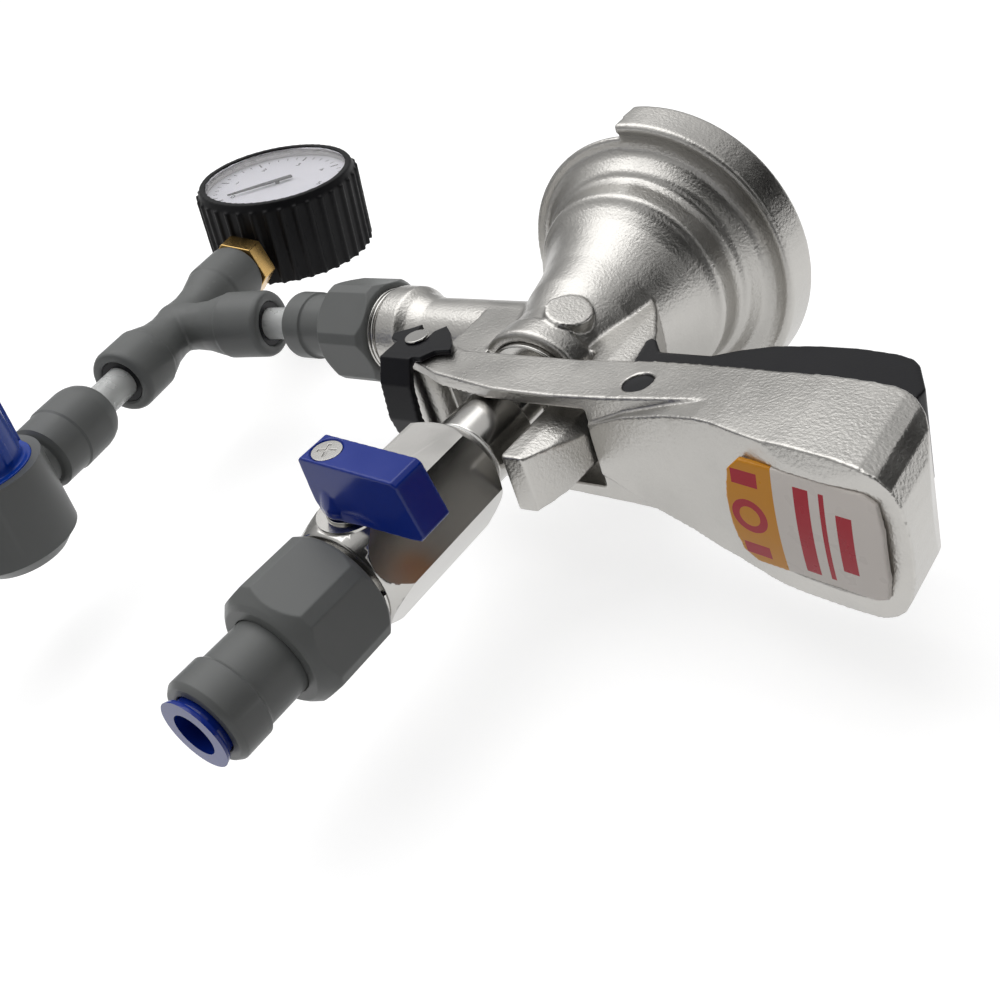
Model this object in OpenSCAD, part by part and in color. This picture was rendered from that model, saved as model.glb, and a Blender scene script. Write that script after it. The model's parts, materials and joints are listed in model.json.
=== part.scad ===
/* [Bell] */
// outer radius of the skirt at the mouth
mouth_r = 40.4; // [38:0.1:44]
// outer radius of the skirt at its upper edge
crown_r = 39.6; // [37:0.1:42]
// height of the skirt
skirt_h = 10.7; // [9.8:0.1:13]
// length of the straight skirt ends past the axis
skirt_reach = 10; // [5:0.5:14]
// inner radius of the slide lips
lip_r = 30.5; // [29:0.5:33]
// thickness of the slide lips
lip_t = 2.8; // [2:0.1:3.2]
// radius of the slide way for the keg neck flange
slide_r = 35.4; // [34:0.1:36.5]
// height of the slide way
slide_h = 4.4; // [4:0.1:4.8]
// radius of the lower shoulder ring
shoulder_r = 29.2; // [28:0.1:30]
// height of the lower shoulder ring
shoulder_z = 13.6; // [13:0.1:15]
// radius of the upper shoulder ring
step_r = 26.5; // [25:0.1:27.5]
// height of the upper shoulder ring
step_z = 21.6; // [19:0.1:24]

/* [Neck] */
// radius of the neck where the cone ends
cone_r = 16.8; // [16:0.1:18]
// height at which the cone ends
cone_z = 44.5; // [42:0.5:47]
// radius of the neck under its rim
neck_r = 14.3; // [14:0.1:14.6]
// radius of the neck rim
rim_r = 15; // [14.8:0.1:15.4]
// height of the neck rim
rim_z = 66; // [65:0.5:67]
// radius of the piston bore
bore_r = 12.2; // [12:0.05:12.4]
// radius of the outlet chamber under the bore
chamber_r = 9.6; // [9:0.1:10]

/* [Gas inlet] */
// height of the gas inlet axis
gas_z = 46.2; // [45:0.1:47]
// outer radius of the gas inlet pipe
gas_pipe_r = 9.6; // [9:0.1:10]
// bore radius of the gas inlet pipe
gas_bore_r = 4.4; // [3.5:0.1:4.5]
// distance of the threaded inlet face from the axis
gas_face_x = 59.5; // [56:0.5:64]

/* [Handle] */
// distance of the hinge from the axis
hinge_x = 27; // [26:0.5:28]
// height of the hinge
hinge_z = 71; // [70.5:0.5:71.5]
// radius of the hinge pin
hinge_r = 3; // [2.8:0.1:3.2]
// half width of the fork over its arms
fork_w = 12.8; // [12.6:0.1:13.2]
// half width of the gap between the arms
fork_gap = 9.9; // [9.8:0.05:10]
// half width of the grip at its widest place
grip_w = 17; // [16:0.5:18]
// distance of the grip end from the axis
grip_end = 102; // [98:1:108]
// distance of the trigger pin from the axis
pivot_x = 39.5; // [39:0.5:41]
// height of the trigger pin
pivot_z = 79.5; // [79:0.5:80]
// radius of the trigger pin
pivot_r = 3.4; // [3:0.1:3.6]
// radius of the ear face about the hinge
ear_r = 56.5; // [56:0.1:57]
// half width of the locking ear
ear_w = 7; // [6:0.1:7.4]

/* [Probe] */
// radius of the probe stem in the keg
stem_r = 6.5; // [6:0.1:7]
// radius of the probe collar under the valve
collar_r = 9.2; // [9:0.1:9.4]
// height of the face that carries the valve
seat_z = 94.6; // [94:0.1:95]
// bore radius of the probe
flow_r = 3.6; // [3:0.1:4]

/* [Valve] */
// width of the valve hexagon across its flats
valve_af = 24.6; // [24:0.1:25]
// length of the valve hexagon
valve_len = 41.4; // [40:0.1:43]
// radius of the ball
ball_r = 7; // [6.8:0.1:7.4]
// distance of the valve stem from the outlet face
stem_back = 7.6; // [7.6:0.1:8.4]
// turn of the valve stem about the flow axis
valve_turn = 84; // [70:1:95]
// reach of the valve lever from its stem
lever_len = 23.3; // [21:0.1:25]
// height of the lever above the axis
lever_top = 27.9; // [27:0.1:30]

/* [Fittings] */
// width of the swivel nuts across their flats
nut_af = 26.6; // [26:0.1:27.4]
// length of the swivel nuts
nut_len = 20; // [19:0.5:22]
// radius of the fitting thread
thread_r = 11.45; // [11.3:0.05:11.6]
// radius of the fitting body behind the nut
body_r = 8.9; // [8.7:0.1:9]
// radius of the fitting collar
cap_r = 9.7; // [9.5:0.1:10]
// outer radius of the beverage tube
tube_r = 4.76; // [4.7:0.02:4.8]
// length from the valve face to the collar end
fit_len = 39.6; // [38:0.5:42]

/* [Gas side] */
// distance of the tee from the bend of the gas tube
tee_reach = 38.2; // [38:0.1:42]
// length of the tee arms
tee_arm = 34.5; // [34:0.1:35]
// bend of the gas tube
tube_bend = 16.5; // [12:0.5:18]
// lean of the plane of that bend
bend_lean = -15; // [-20:1:20]
// length of straight tube before the bend
bend_out = 9.5; // [9:0.1:12]
// radius of the tee collars
tee_r = 10; // [9.8:0.1:10.2]
// turn of the tee about the gas tube
tee_tilt = -1.4; // [-10:0.2:12]
// distance of the gauge axis from the tee
gauge_x = 75; // [74:0.5:77]
// outer radius of the gauge boot
boot_r = 29; // [28:0.5:30]
// height of the dial glass over the tee axis
dial_h = 18.4; // [18:0.2:20]
// turn of the gauge on its stem
gauge_turn = -4.6; // [-20:0.2:20]
// distance of the relief valve axis from the tee
relief_x = 90; // [88:0.5:92]
// radius of the relief valve housing
relief_r = 17; // [16:0.5:18]
// radius of the relief valve knob
knob_r = 11.6; // [11:0.1:12.4]

/* [Hidden] */
fine = 96;
mid = 48;
low = 32;
unit = 1;
eps = 0.02 * unit;
over = 0.6 * unit;
run_gap = 0.05 * unit;
fit_gap = 0.1 * unit;
part_gap = 0.4 * unit;
wall = 2 * unit;

lay_turn = 90;
disc_r = slide_r + lip_t * 0.1;
crown_bend = grip_w * 4;
crown_turn = 79.2;
label_in = unit * 0.3;
label_t = unit * 1.1;
slide_top = lip_t + slide_h;
disc_top = slide_top + wall * 0.9;
seal_r = chamber_r * 2;
seal_in = chamber_r * 1.35;
seal_t = wall * 1.6;
gas_in = rim_r - wall;
nut_r = nut_af / 2 / cos(30);
nut_cut = nut_r * 0.945;
valve_r = valve_af / 2 / cos(30);
valve_z = seat_z + unit;
valve_end = valve_z + valve_len;
stem_z = valve_end - stem_back;
lever_foot = valve_af / 2 + unit * 1.5;
lug_w = fork_gap - part_gap;
axle_r = pivot_r * 0.7;
boss_r = wall * 2;
boss_x = unit * 2;
boss_z = hinge_z + wall * 2.6;
piston_r = bore_r - run_gap;
piston_z = gas_z + gas_bore_r + over;
piston_top = rim_z + wall * 0.6;
neck_in = stem_r + unit * 0.8;
groove_lo = boss_z - boss_r - part_gap;
groove_hi = boss_z + boss_r + part_gap;
collet_in = tube_r + fit_gap / 2;
collet_out = tube_r + wall * 0.9;
ring_t = unit * 1.8;
tube_in = wall * 8;
tube_stop = fit_len - tube_in;
bend_x = gas_face_x + fit_len + bend_out;
low_arm = tee_arm - unit * 1.5;
top_arm = tee_arm + unit * 2.5;
steel = [0.74, 0.73, 0.71];
bright = [0.82, 0.81, 0.79];
grey = [0.37, 0.38, 0.37];
black = [0.07, 0.07, 0.08];
blue = [0.1, 0.2, 0.65];
white = [0.93, 0.93, 0.92];
rubber = [0.1, 0.1, 0.1];
gold = [0.72, 0.52, 0.2];

module lay() {
  rotate([lay_turn, 0, 0]) children();
}

module on_gas() {
  translate([-gas_face_x, 0, gas_z]) rotate([0, -90, 0]) children();
}

module on_liquid() {
  translate([0, 0, valve_end]) children();
}

module on_bend(back) {
  translate([-bend_x, 0, gas_z]) rotate([bend_lean, 0, 0]) rotate([0, tube_bend, 0]) translate([-back, 0, 0]) children();
}

module on_tee() {
  on_bend(tee_reach) rotate([tee_tilt - bend_lean, 0, 0]) children();
}

module on_gauge() {
  on_tee() translate([0, 0, -gauge_x]) rotate([0, 0, gauge_turn]) rotate([-90, 0, 0]) children();
}

module on_relief() {
  on_tee() translate([0, 0, relief_x]) rotate([-90, 0, 0]) children();
}

module on_stem() {
  translate([0, 0, stem_z]) rotate([0, 0, valve_turn]) rotate([0, 90, 0]) children();
}

module ring(r_out, r_in, h) {
  difference() {
    cylinder(r = r_out, h = h, $fn = fine);
    translate([0, 0, -over]) cylinder(r = r_in, h = h + over * 2, $fn = fine);
  }
}

module cross_pin(x, z, r, half) {
  translate([x, half, z]) rotate([90, 0, 0]) cylinder(r = r, h = half * 2, $fn = fine);
}

module skirt_profile() {
  polygon([
    [lip_r, 0], [mouth_r - wall * 0.3, 0], [mouth_r, wall * 0.3], [crown_r + wall * 0.1, skirt_h - wall * 0.4],
    [crown_r - wall * 0.3, skirt_h], [crown_r - wall * 0.8, skirt_h - wall * 0.1],
    [crown_r - wall * 1.4, skirt_h - wall * 0.5], [crown_r - wall * 2.4, disc_top],
    [lip_r - wall, disc_top], [lip_r - wall, slide_top], [slide_r, slide_top], [slide_r, lip_t], [lip_r, lip_t]
  ]);
}

module skirt() {
  rotate([0, 0, -90]) rotate_extrude(angle = 180, $fn = fine) skirt_profile();
  for (side = [0, 1]) {
    mirror([0, side, 0]) translate([eps, 0, 0]) rotate([0, -90, 0]) rotate([0, 0, 90])
      linear_extrude(height = skirt_reach) mirror([0, 1, 0]) rotate([0, 0, 90]) skirt_profile();
  }
}

module bell_profile() {
  polygon([
    [0, slide_top], [disc_r, slide_top], [disc_r + wall * 0.15, slide_top + wall * 0.4], [disc_r, disc_top],
    [shoulder_r + wall * 2, disc_top - wall * 0.1], [shoulder_r + wall * 1.2, disc_top + wall * 0.3],
    [shoulder_r + wall * 0.5, shoulder_z - wall * 1.1], [shoulder_r + wall * 0.15, shoulder_z - wall * 0.5],
    [shoulder_r - wall * 0.2, shoulder_z - wall * 0.1], [shoulder_r - wall * 0.6, shoulder_z],
    [step_r + wall * 0.6, shoulder_z + wall * 0.25], [step_r + wall * 0.3, shoulder_z + wall],
    [step_r + wall * 0.1, step_z - wall * 0.5], [step_r - wall * 0.15, step_z - wall * 0.1],
    [step_r - wall * 0.6, step_z + wall * 0.15], [step_r - wall, step_z + wall * 0.5],
    [cone_r * 1.34, step_z + wall * 1.9], [cone_r * 1.22, step_z + wall * 4.2],
    [cone_r * 1.1, step_z + wall * 7.3], [cone_r, cone_z], [cone_r * 0.94, cone_z + wall * 1.5],
    [neck_r * 1.04, cone_z + wall * 3.2], [neck_r, cone_z + wall * 4.6], [neck_r, rim_z - wall * 3.6],
    [rim_r - wall * 0.1, rim_z - wall * 3.4], [rim_r, rim_z - wall * 3.2], [rim_r, rim_z - wall * 0.4],
    [rim_r - wall * 0.3, rim_z], [0, rim_z]
  ]);
}

module pipe_profile() {
  polygon([
    [0, 0], [gas_pipe_r, 0], [gas_pipe_r, gas_face_x - wall * 7.5],
    [gas_pipe_r * 1.12, gas_face_x - wall * 5.5], [gas_pipe_r * 1.3, gas_face_x - wall * 4.2],
    [gas_pipe_r * 1.3, gas_face_x - wall * 0.8], [thread_r - wall * 0.4, gas_face_x - wall * 0.8],
    [thread_r - wall * 0.4, gas_face_x + unit], [thread_r, gas_face_x + wall * 0.8],
    [thread_r, gas_face_x + wall * 4.2], [thread_r - wall * 0.4, gas_face_x + wall * 4.7], [0, gas_face_x + wall * 4.7]
  ]);
}

module lug() {
  difference() {
    union() {
      cross_pin(-hinge_x, hinge_z, hinge_r * 2, lug_w);
      translate([-hinge_x, -lug_w, hinge_z - hinge_r * 2])
        cube([hinge_x - neck_r * 0.75, lug_w * 2, hinge_r * 2.3]);
      translate([-hinge_x + hinge_r, -lug_w, gas_z])
        cube([hinge_x - hinge_r - neck_r * 0.7, lug_w * 2, hinge_z - gas_z - hinge_r]);
    }
    cross_pin(-hinge_x, hinge_z, hinge_r + run_gap, fork_w);
    translate([0, 0, gas_z]) cylinder(r = bore_r + wall, h = hinge_z, $fn = fine);
  }
}

module ear_side() {
  intersection() {
    translate([-hinge_x, hinge_z]) circle(r = ear_r, $fn = fine * 2);
    polygon([
      [neck_r * 0.9, step_z + wall * 9], [cone_r + wall, step_z + wall * 7], [ear_r - hinge_x - wall * 3, gas_z],
      [ear_r - hinge_x + wall, gas_z + wall * 3],
      [ear_r - hinge_x + wall, hinge_z + wall * 14.2], [neck_r * 1.16, hinge_z + wall * 14.6], [neck_r * 1.12, hinge_z + wall * 14.2],
      [neck_r * 1.12, rim_z - wall * 1.5], [neck_r * 1.07, rim_z - wall * 3], [neck_r * 0.9, rim_z - wall * 3.6]
    ]);
  }
}

module ear_plan() {
  polygon([
    [0, -ear_w], [ear_r - hinge_x - wall * 4.6, -ear_w], [ear_r - hinge_x - wall * 2.4, -ear_w * 0.86],
    [ear_r - hinge_x - wall * 0.6, -ear_w * 0.5], [ear_r - hinge_x + wall, -ear_w * 0.2], [ear_r - hinge_x + wall, ear_w * 0.2],
    [ear_r - hinge_x - wall * 0.6, ear_w * 0.5], [ear_r - hinge_x - wall * 2.4, ear_w * 0.86],
    [ear_r - hinge_x - wall * 4.6, ear_w], [0, ear_w]
  ]);
}

module ear() {
  intersection() {
    translate([0, ear_w, 0]) rotate([90, 0, 0]) linear_extrude(height = ear_w * 2) ear_side();
    translate([0, 0, step_z]) linear_extrude(height = hinge_z * 2) ear_plan();
  }
}

module coupler_body() {
  color(steel) lay() difference() {
    union() {
      rotate_extrude($fn = fine) bell_profile();
      skirt();
      translate([0, 0, gas_z]) rotate([0, -90, 0]) rotate_extrude($fn = fine) pipe_profile();
      difference() {
        union() {
          lug();
          ear();
        }
        translate([0, 0, step_z]) cylinder(r = bore_r + wall * 0.5, h = hinge_z, $fn = fine);
      }
      translate([neck_r * 0.38, neck_r * 0.75, gas_z + wall * 4.1]) rotate([-90, 0, -20])
        cylinder(r = neck_r * 0.4, h = neck_r * 0.28, $fn = mid);
    }
    translate([0, 0, gas_z - gas_bore_r - wall * 2]) cylinder(r = bore_r, h = rim_z, $fn = fine);
    translate([0, 0, slide_top - over]) cylinder(r = chamber_r, h = gas_z, $fn = fine);
    translate([0, 0, slide_top - over]) cylinder(r = seal_r, h = seal_t + over, $fn = fine);
    translate([0, 0, gas_z]) rotate([0, -90, 0]) cylinder(r = gas_bore_r, h = gas_face_x * 2, $fn = fine);
  }
}

module keg_seal() {
  color(rubber) lay() rotate_extrude($fn = fine) polygon([
    [seal_in, slide_top - wall * 0.3], [seal_in + wall, slide_top - wall * 0.45], [seal_r - wall, slide_top - wall * 0.1],
    [seal_r, slide_top], [seal_r, slide_top + seal_t], [chamber_r, slide_top + seal_t],
    [chamber_r, slide_top + seal_t - wall * 0.5], [seal_in, slide_top + wall * 0.4]
  ]);
}

module probe_profile() {
  polygon([
    [flow_r, wall * 0.5], [stem_r - wall * 0.6, wall * 0.5], [stem_r - wall * 0.4, wall], [stem_r - wall * 0.4, wall * 3],
    [stem_r, wall * 3], [stem_r, piston_z - wall * 1.6], [piston_r - wall, piston_z], [piston_r, piston_z],
    [piston_r, piston_z + unit], [piston_r - ring_t * 0.9, piston_z + unit],
    [piston_r - ring_t * 0.9, piston_z + unit + ring_t], [piston_r, piston_z + unit + ring_t],
    [piston_r, piston_top - wall * 0.2], [piston_r - wall * 0.2, piston_top], [collar_r, piston_top],
    [collar_r, groove_lo], [neck_in, groove_lo], [neck_in, groove_hi],
    [collar_r - wall * 0.2, groove_hi], [collar_r, groove_hi + wall * 0.2], [collar_r, seat_z - wall * 0.1],
    [collar_r - wall * 0.1, seat_z], [stem_r, seat_z], [stem_r, seat_z + wall * 4.2],
    [stem_r - wall * 0.3, seat_z + wall * 4.5], [flow_r, seat_z + wall * 4.5]
  ]);
}

module probe() {
  color(bright) lay() rotate_extrude($fn = fine) probe_profile();
}

module probe_seal() {
  color(rubber) lay() rotate_extrude($fn = fine) polygon([
    [stem_r - wall * 0.4, wall], [stem_r + wall * 0.4, wall * 1.2], [stem_r + wall * 0.9, wall * 2],
    [stem_r + wall * 0.9, wall * 2.6], [stem_r + wall * 0.5, wall * 3], [stem_r - wall * 0.4, wall * 3]
  ]);
}

module probe_o_ring() {
  color(rubber) lay() translate([0, 0, piston_z + unit + ring_t / 2]) rotate_extrude($fn = fine) intersection() {
    translate([piston_r - ring_t * 0.4, 0]) circle(r = ring_t / 2, $fn = low);
    translate([piston_r - ring_t * 0.9, -ring_t]) square([ring_t * 0.9, ring_t * 2]);
  }
}

module handle_side() {
  polygon([
    [-hinge_x + hinge_r, hinge_z - hinge_r * 1.7], [-hinge_x + hinge_r * 3.4, hinge_z - hinge_r * 0.5],
    [-hinge_x + hinge_r * 5, hinge_z + unit * 0.4], [pivot_x, hinge_z + unit * 0.6], [pivot_x * 1.3, hinge_z + wall],
    [pivot_x * 1.65, hinge_z + wall * 2.1], [pivot_x * 2, hinge_z + wall * 2.7], [grip_end * 0.9, hinge_z + wall * 3.3],
    [grip_end * 0.93, hinge_z + wall * 4], [grip_end * 0.955, hinge_z + wall * 5.2], [grip_end * 0.967, hinge_z + wall * 6.4],
    [grip_end + unit, hinge_z + wall * 13.5], [grip_end + unit * 0.6, hinge_z + wall * 15],
    [grip_end - unit, hinge_z + wall * 15.5], [grip_end * 0.92, hinge_z + wall * 15.2],
    [grip_end * 0.85, hinge_z + wall * 14.8], [grip_end * 0.77, hinge_z + wall * 13.9],
    [grip_end * 0.69, hinge_z + wall * 12.5], [grip_end * 0.61, hinge_z + wall * 10.9],
    [grip_end * 0.5, hinge_z + wall * 9.3], [grip_end * 0.38, hinge_z + wall * 8.2],
    [grip_end * 0.28, hinge_z + wall * 7.3], [boss_x + unit, hinge_z + wall * 7], [-hinge_x * 0.4, hinge_z + wall * 6],
    [-hinge_x + hinge_r * 2.4, hinge_z + wall * 4], [-hinge_x, hinge_z + hinge_r * 1.85]
  ]);
}

module handle_half() {
  polygon([
    [-hinge_x - hinge_r * 2, 0], [-hinge_x - hinge_r * 2, fork_w], [fork_w * 1.6, fork_w], [pivot_x * 0.9, fork_w * 1.06],
    [pivot_x * 1.3, grip_w * 0.88], [pivot_x * 1.6, grip_w * 0.95], [pivot_x * 2, grip_w], [grip_end * 0.87, grip_w * 0.99],
    [grip_end * 0.915, grip_w * 0.96], [grip_end * 0.945, grip_w * 0.89], [grip_end * 0.967, grip_w * 0.77],
    [grip_end * 0.982, grip_w * 0.58], [grip_end * 0.989, grip_w * 0.34], [grip_end * 0.992, grip_w * 0.12],
    [grip_end * 0.992, 0]
  ]);
}

module handle_plan() {
  handle_half();
  mirror([0, 1]) handle_half();
}

module grip_crown(depth) {
  translate([grip_end * 0.78, 0, hinge_z + wall * 14.1 - crown_bend]) rotate([0, crown_turn, 0])
    cylinder(r = crown_bend - depth, h = grip_end * 3, center = true, $fn = fine * 4);
}

module bulge_plan() {
  polygon([
    [grip_end * 0.28, -ear_w * 0.9], [grip_end * 0.38, -ear_w * 1.5], [grip_end * 0.49, -grip_w * 0.8],
    [grip_end * 0.6, -grip_w * 0.96], [grip_end * 0.72, -grip_w * 1.1], [grip_end * 1.2, -grip_w * 1.1],
    [grip_end * 1.2, grip_w * 1.1], [grip_end * 0.72, grip_w * 1.1], [grip_end * 0.6, grip_w * 0.96],
    [grip_end * 0.49, grip_w * 0.8], [grip_end * 0.38, ear_w * 1.5], [grip_end * 0.28, ear_w * 0.9]
  ]);
}

module handle_mass() {
  intersection() {
    translate([0, grip_w * 2, 0]) rotate([90, 0, 0]) linear_extrude(height = grip_w * 4) union() {
      handle_side();
      translate([-hinge_x, hinge_z]) circle(r = hinge_r * 1.85, $fn = fine);
    }
    translate([0, 0, hinge_z - wall * 5]) linear_extrude(height = wall * 25) handle_plan();
    union() {
      translate([-hinge_x * 2, -grip_w * 2, hinge_z - wall * 5])
        cube([grip_end * 2, grip_w * 4, wall * 5 + wall * 7.2]);
      translate([0, 0, hinge_z]) linear_extrude(height = wall * 25) bulge_plan();
    }
    grip_crown(0);
  }
}

module fork_slot() {
  intersection() {
    cross_pin(-hinge_x, hinge_z, ear_r + unit, fork_gap);
    translate([-hinge_x * 2, -fork_gap, hinge_z - wall * 10]) cube([grip_end, fork_gap * 2, wall * 30]);
  }
}

module handle() {
  color(steel) lay() difference() {
    union() {
      difference() {
        handle_mass();
        fork_slot();
      }
      for (side = [-1, 1]) {
        translate([boss_x, side * (fork_gap + neck_in + unit) / 2, boss_z]) rotate([90, 0, 0])
          cylinder(r = boss_r, h = fork_gap - neck_in + eps, center = true, $fn = mid);
      }
    }
    cross_pin(-hinge_x, hinge_z, hinge_r + run_gap, grip_w * 2);
    cross_pin(pivot_x, pivot_z, axle_r, grip_w * 2);
    translate([pivot_x, grip_w * 2, pivot_z]) rotate([90, 0, 0])
      cylinder(r = pivot_r, h = grip_w * 2 - fork_w * 1.04 + wall, $fn = fine);
    translate([ear_r - hinge_x - wall, -grip_w * 0.64, hinge_z - wall * 3])
      cube([grip_end * 0.65, grip_w * 1.28, wall * 9.5]);
    difference() {
      label_blank(0);
      grip_crown(label_in + label_t);
    }
  }
}

module label_plan() {
  polygon([
    [-grip_end * 0.125, -grip_w * 0.7], [grip_end * 0.12, -grip_w * 0.68], [grip_end * 0.145, -grip_w * 0.6],
    [grip_end * 0.155, -grip_w * 0.3], [grip_end * 0.155, grip_w * 0.3], [grip_end * 0.145, grip_w * 0.6],
    [grip_end * 0.12, grip_w * 0.68], [-grip_end * 0.125, grip_w * 0.7], [-grip_end * 0.15, grip_w * 0.55],
    [-grip_end * 0.16, grip_w * 0.2], [-grip_end * 0.16, -grip_w * 0.2], [-grip_end * 0.15, -grip_w * 0.55]
  ]);
}

module label_blank(gap) {
  translate([grip_end * 0.81, 0, hinge_z + wall * 11]) rotate([0, -7, 0]) linear_extrude(height = wall * 6)
    offset(delta = -gap) label_plan();
}

module handle_label() {
  color(white) lay() intersection() {
    label_blank(fit_gap / 2);
    difference() {
      grip_crown(label_in);
      grip_crown(label_in + label_t);
    }
  }
}

module trigger_side() {
  polygon([
    [pivot_x - wall * 4.8, hinge_z - wall * 2.6], [pivot_x - wall * 5.5, hinge_z - wall * 6.2],
    [pivot_x - wall * 5.1, hinge_z - wall * 6.9], [pivot_x - wall * 4.3, hinge_z - wall * 6.5],
    [pivot_x - wall * 2.6, hinge_z - wall * 4.3], [pivot_x + wall * 3.5, hinge_z - wall * 4.2],
    [pivot_x + wall * 6.1, hinge_z - wall * 5.6], [pivot_x + wall * 9.5, hinge_z - wall * 6.8],
    [pivot_x + wall * 14, hinge_z - wall * 7.3], [pivot_x + wall * 18.2, hinge_z - wall * 7.3],
    [pivot_x + wall * 22.2, hinge_z - wall * 6.7], [pivot_x + wall * 23.9, hinge_z - wall * 6],
    [pivot_x + wall * 24.8, hinge_z - wall * 5], [pivot_x + wall * 26.6, hinge_z - wall * 1.2],
    [pivot_x + wall * 26.3, hinge_z + wall * 0.2], [pivot_x + wall * 18, hinge_z - wall * 0.5],
    [pivot_x + wall * 8, hinge_z - wall * 0.5], [pivot_x + pivot_r * 2.4, hinge_z + wall * 2],
    [pivot_x + pivot_r * 0.8, pivot_z + pivot_r * 1.05], [pivot_x - pivot_r * 0.8, pivot_z + pivot_r * 1.05],
    [pivot_x - pivot_r * 1.8, pivot_z - pivot_r * 0.5]
  ]);
}

module trigger() {
  color(black) lay() difference() {
    translate([0, grip_w * 0.6, 0]) rotate([90, 0, 0]) linear_extrude(height = grip_w * 1.2) trigger_side();
    cross_pin(pivot_x, pivot_z, axle_r + run_gap, grip_w * 2);
    translate([pivot_x - pivot_r * 3, -grip_w * 0.32, pivot_z - pivot_r * 1.4])
      cube([pivot_r * 6, grip_w * 0.64, pivot_r * 5]);
    translate([-hinge_x, grip_w, hinge_z]) rotate([90, 0, 0])
      cylinder(r = ear_r + part_gap, h = grip_w * 2, $fn = fine * 2);
  }
}

module trigger_pin() {
  color(black) lay() union() {
    cross_pin(pivot_x, pivot_z, axle_r, fork_w * 1.03);
    translate([pivot_x, fork_w * 1.04, pivot_z]) rotate([90, 0, 0]) cylinder(r = pivot_r, h = wall, $fn = fine);
  }
}

spring_turns = 5;
spring_pitch = unit * 1.75;
spring_wire = unit * 0.55;
spring_coil = axle_r + unit * 0.8;
ring_steps = 8;
wire_sides = 6;

module coil(turns, pitch, radius, wire) {
  total = turns * ring_steps;
  points = [
    for (i = [0 : total]) for (j = [0 : wire_sides - 1])
      let (a = i * 360 / ring_steps, b = j * 360 / wire_sides, r = radius + wire * cos(b))
        [r * cos(a), r * sin(a), i * pitch / ring_steps + wire * sin(b)]
  ];
  sides = [
    for (i = [0 : total - 1]) for (j = [0 : wire_sides - 1])
      let (k = (j + 1) % wire_sides, a = i * wire_sides)
        [a + j, a + k, a + wire_sides + k, a + wire_sides + j]
  ];
  first = [[for (j = [0 : wire_sides - 1]) wire_sides - 1 - j]];
  last = [[for (j = [0 : wire_sides - 1]) total * wire_sides + j]];
  polyhedron(points = points, faces = concat(sides, first, last), convexity = 10);
}

echo(spring_gap = spring_pitch - spring_wire * 2);

module trigger_spring() {
  color(bright) lay() translate([pivot_x, spring_turns * spring_pitch / 2, pivot_z]) rotate([90, 0, 0])
    coil(spring_turns, spring_pitch, spring_coil, spring_wire);
}

module hinge_pin() {
  color(bright) lay() difference() {
    cross_pin(-hinge_x, hinge_z, hinge_r, fork_w + wall * 1.35);
    for (side = [-1, 1]) {
      translate([-hinge_x, side * (fork_w + wall * 0.6), hinge_z]) rotate([90, 0, 0]) difference() {
        cylinder(r = hinge_r * 2, h = wall * 0.8, center = true, $fn = low);
        cylinder(r = hinge_r * 0.75, h = wall, center = true, $fn = fine);
      }
    }
  }
}

module clip_jaw() {
  polygon([
    [-hinge_r * 1.9, -hinge_r * 1.4], [-hinge_r * 1.1, -hinge_r * 2.1], [-hinge_r * 0.85, -hinge_r * 1.2],
    [-hinge_r * 0.86, hinge_r * 0.1], [-hinge_r * 0.4, hinge_r * 0.81], [hinge_r * 0.4, hinge_r * 0.81],
    [hinge_r * 0.86, hinge_r * 0.1], [hinge_r * 0.85, -hinge_r * 1.2], [hinge_r * 1.5, -hinge_r * 2.1],
    [hinge_r * 2.6, -hinge_r * 1.2], [hinge_r * 4, hinge_r * 0.4], [hinge_r * 4.4, hinge_r * 1.2],
    [hinge_r * 3, hinge_r * 1.5], [hinge_r * 2.3, hinge_r * 2.6], [-hinge_r * 1.7, hinge_r * 2.6],
    [-hinge_r * 1.8, hinge_r * 0.5], [-hinge_r * 2.7, hinge_r * 0.2], [-hinge_r * 3.1, -hinge_r * 0.6]
  ]);
}

module clip_arch() {
  polygon([
    [-hinge_z - hinge_r * 2.05, -fork_w - wall], [-hinge_z - hinge_r * 2.05, -fork_w - wall * 0.25],
    [-hinge_z - hinge_r * 2.75, -fork_w * 0.97], [-hinge_z - hinge_r * 3.4, -fork_w * 0.6],
    [-hinge_z - hinge_r * 3.75, 0], [-hinge_z - hinge_r * 3.4, fork_w * 0.6],
    [-hinge_z - hinge_r * 2.75, fork_w * 0.97], [-hinge_z - hinge_r * 2.05, fork_w + wall * 0.25],
    [-hinge_z - hinge_r * 2.05, fork_w + wall], [-hinge_z - hinge_r * 2.9, fork_w + wall],
    [-hinge_z - hinge_r * 3.9, fork_w * 0.7], [-hinge_z - hinge_r * 4.4, 0],
    [-hinge_z - hinge_r * 3.9, -fork_w * 0.7], [-hinge_z - hinge_r * 2.9, -fork_w - wall]
  ]);
}

module hinge_clip() {
  color(black) lay() {
    for (side = [-1, 1]) {
      translate([-hinge_x, side * (fork_w + wall * 0.6) + wall * 0.38, hinge_z]) rotate([90, 0, 0])
        linear_extrude(height = wall * 0.76) clip_jaw();
    }
    translate([-hinge_x - hinge_r * 1.7, 0, 0]) rotate([0, 90, 0]) linear_extrude(height = hinge_r * 3.2) clip_arch();
  }
}

module valve_profile() {
  polygon([
    [0, 0], [collar_r + unit * 0.4, 0], [valve_r, wall * 2.5], [valve_r, valve_len - wall * 2.8],
    [valve_af / 2, valve_len - wall * 0.2], [valve_af / 2 - wall * 0.2, valve_len], [0, valve_len]
  ]);
}

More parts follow.
